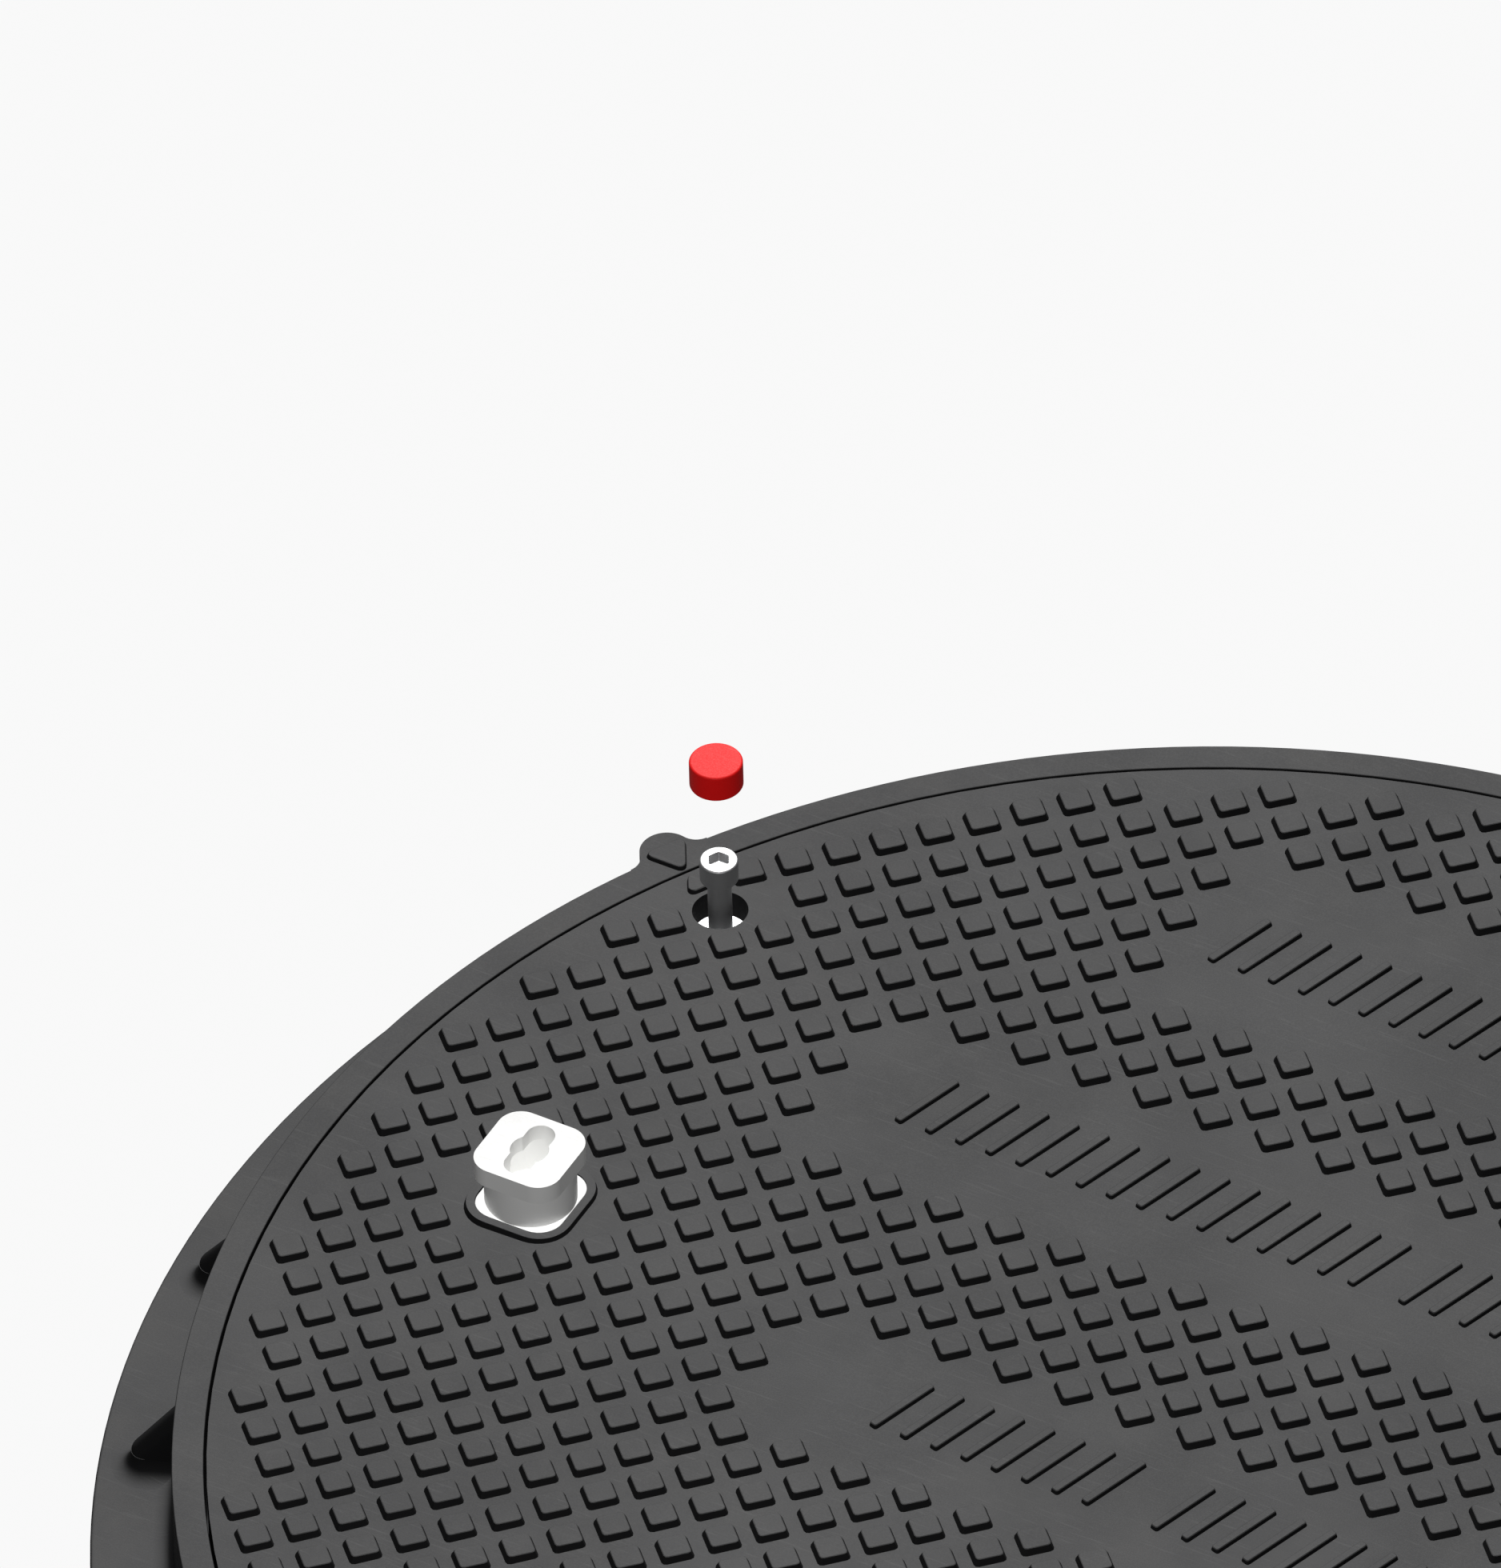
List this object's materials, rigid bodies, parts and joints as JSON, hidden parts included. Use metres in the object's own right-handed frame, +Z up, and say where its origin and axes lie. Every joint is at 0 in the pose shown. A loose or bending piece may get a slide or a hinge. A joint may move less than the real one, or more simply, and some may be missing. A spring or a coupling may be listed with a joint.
{
  "type": "manhole cover",
  "caption": "Round composite access cover with a studded domed top, seated in a flanged gusseted frame, locked by capped socket screws and lifted by quarter-turn key sockets.",
  "frame": {"origin": "centre of the frame's underside, on the plane that the flange is bedded on", "axes": "+Z up along the cover's axis; +X along the rows of raised bars, towards the east lifting socket; lock bolts at 30, 150 and 270 degrees from +X"},
  "size_m": [0.8999, 0.9, 0.1424],
  "materials": {
    "frame_composite": "moulded dark grey composite",
    "cover_composite": "moulded dark grey composite",
    "gasket_rubber": "matt black rubber",
    "insert_brass": "turned brass",
    "bush_steel": "bright turned stainless steel",
    "bolt_steel": "satin stainless steel",
    "socket_white": "satin white moulded nylon",
    "cap_red": "glossy red moulded plastic"
  },
  "bodies": {
    "frame_body": {"frame": "frame_composite", "seat_gasket": "gasket_rubber", "thread_insert_1": "insert_brass", "thread_insert_2": "insert_brass", "thread_insert_3": "insert_brass"},
    "cover_body": {"cover": "cover_composite", "bolt_bush_1": "bush_steel", "bolt_bush_2": "bush_steel", "bolt_bush_3": "bush_steel"},
    "socket_west": {"key_socket_west": "socket_white", "key_base_west": "socket_white"},
    "socket_east": {"key_socket_east": "socket_white", "key_base_east": "socket_white"},
    "bolt_1": {"lock_bolt_1": "bolt_steel"},
    "bolt_2": {"lock_bolt_2": "bolt_steel"},
    "bolt_3": {"lock_bolt_3": "bolt_steel"},
    "cap_1": {"bolt_cap_1": "cap_red"},
    "cap_2": {"bolt_cap_2": "cap_red"},
    "cap_3": {"bolt_cap_3": "cap_red"}
  },
  "joints": [
    {"name": "cover_lift", "type": "slide", "parent": "frame_body", "child": "cover_body", "axis": [0, 0, 1], "range_m": [0, 0.09]},
    {"name": "socket_west_slide", "type": "slide", "parent": "cover_body", "child": "socket_west", "axis": [0, 0, 1], "range_m": [-0.0251, 0]},
    {"name": "socket_east_slide", "type": "slide", "parent": "cover_body", "child": "socket_east", "axis": [0, 0, 1], "range_m": [0, 0.0251]},
    {"name": "bolt_1_screw", "type": "slide", "parent": "cover_body", "child": "bolt_1", "axis": [0, 0, 1], "range_m": [-0.0313, 0]},
    {"name": "cap_1_pull", "type": "slide", "parent": "bolt_1", "child": "cap_1", "axis": [0, 0, 1], "range_m": [-0.0529, 0]},
    {"name": "bolt_2_screw", "type": "slide", "parent": "cover_body", "child": "bolt_2", "axis": [0, 0, 1], "range_m": [0, 0.03143]},
    {"name": "cap_2_pull", "type": "slide", "parent": "bolt_2", "child": "cap_2", "axis": [0, 0, 1], "range_m": [0, 0.053]},
    {"name": "bolt_3_screw", "type": "slide", "parent": "cover_body", "child": "bolt_3", "axis": [0, 0, 1], "range_m": [0, 0.03143]},
    {"name": "cap_3_pull", "type": "slide", "parent": "bolt_3", "child": "cap_3", "axis": [0, 0, 1], "range_m": [0, 0.053]}
  ]
}
